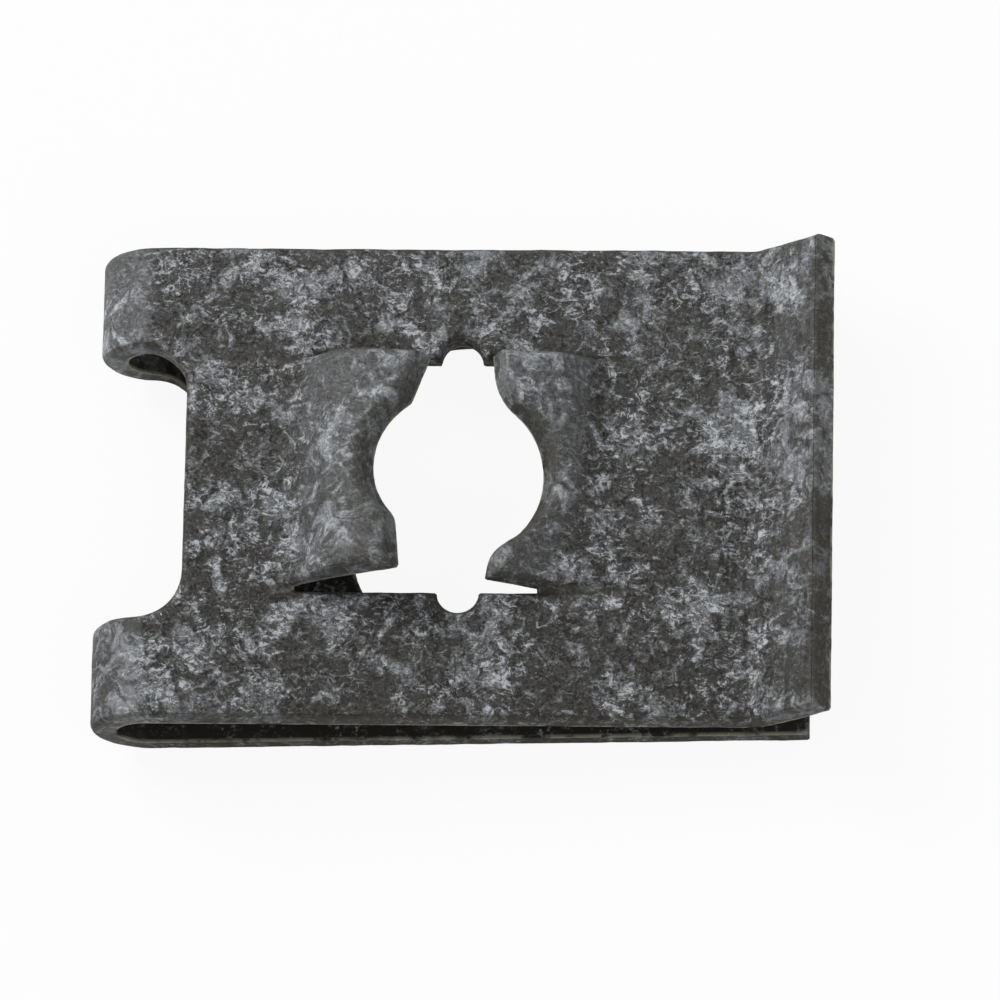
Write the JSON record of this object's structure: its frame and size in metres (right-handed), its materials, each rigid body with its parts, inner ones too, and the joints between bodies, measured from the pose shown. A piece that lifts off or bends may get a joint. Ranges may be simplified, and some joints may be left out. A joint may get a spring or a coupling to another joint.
{
  "type": "u clip speed nut",
  "caption": "U-shaped spring steel clip nut that slides over a panel edge, with raised thread prongs in one leaf and a clearance opening in the other.",
  "frame": {"origin": "where the screw's axis meets the plain leaf's outer face", "axes": "+X along the clip from the fold to the flared lip, +Y across the strip, +Z along the screw's axis from the plain leaf to the threaded leaf"},
  "size_m": [0.0221, 0.0148, 0.0052],
  "materials": {
    "phosphated_spring_steel": "matt, mottled phosphate coat"
  },
  "bodies": {
    "root": {"clip_nut": "phosphated_spring_steel"}
  },
  "joints": []
}
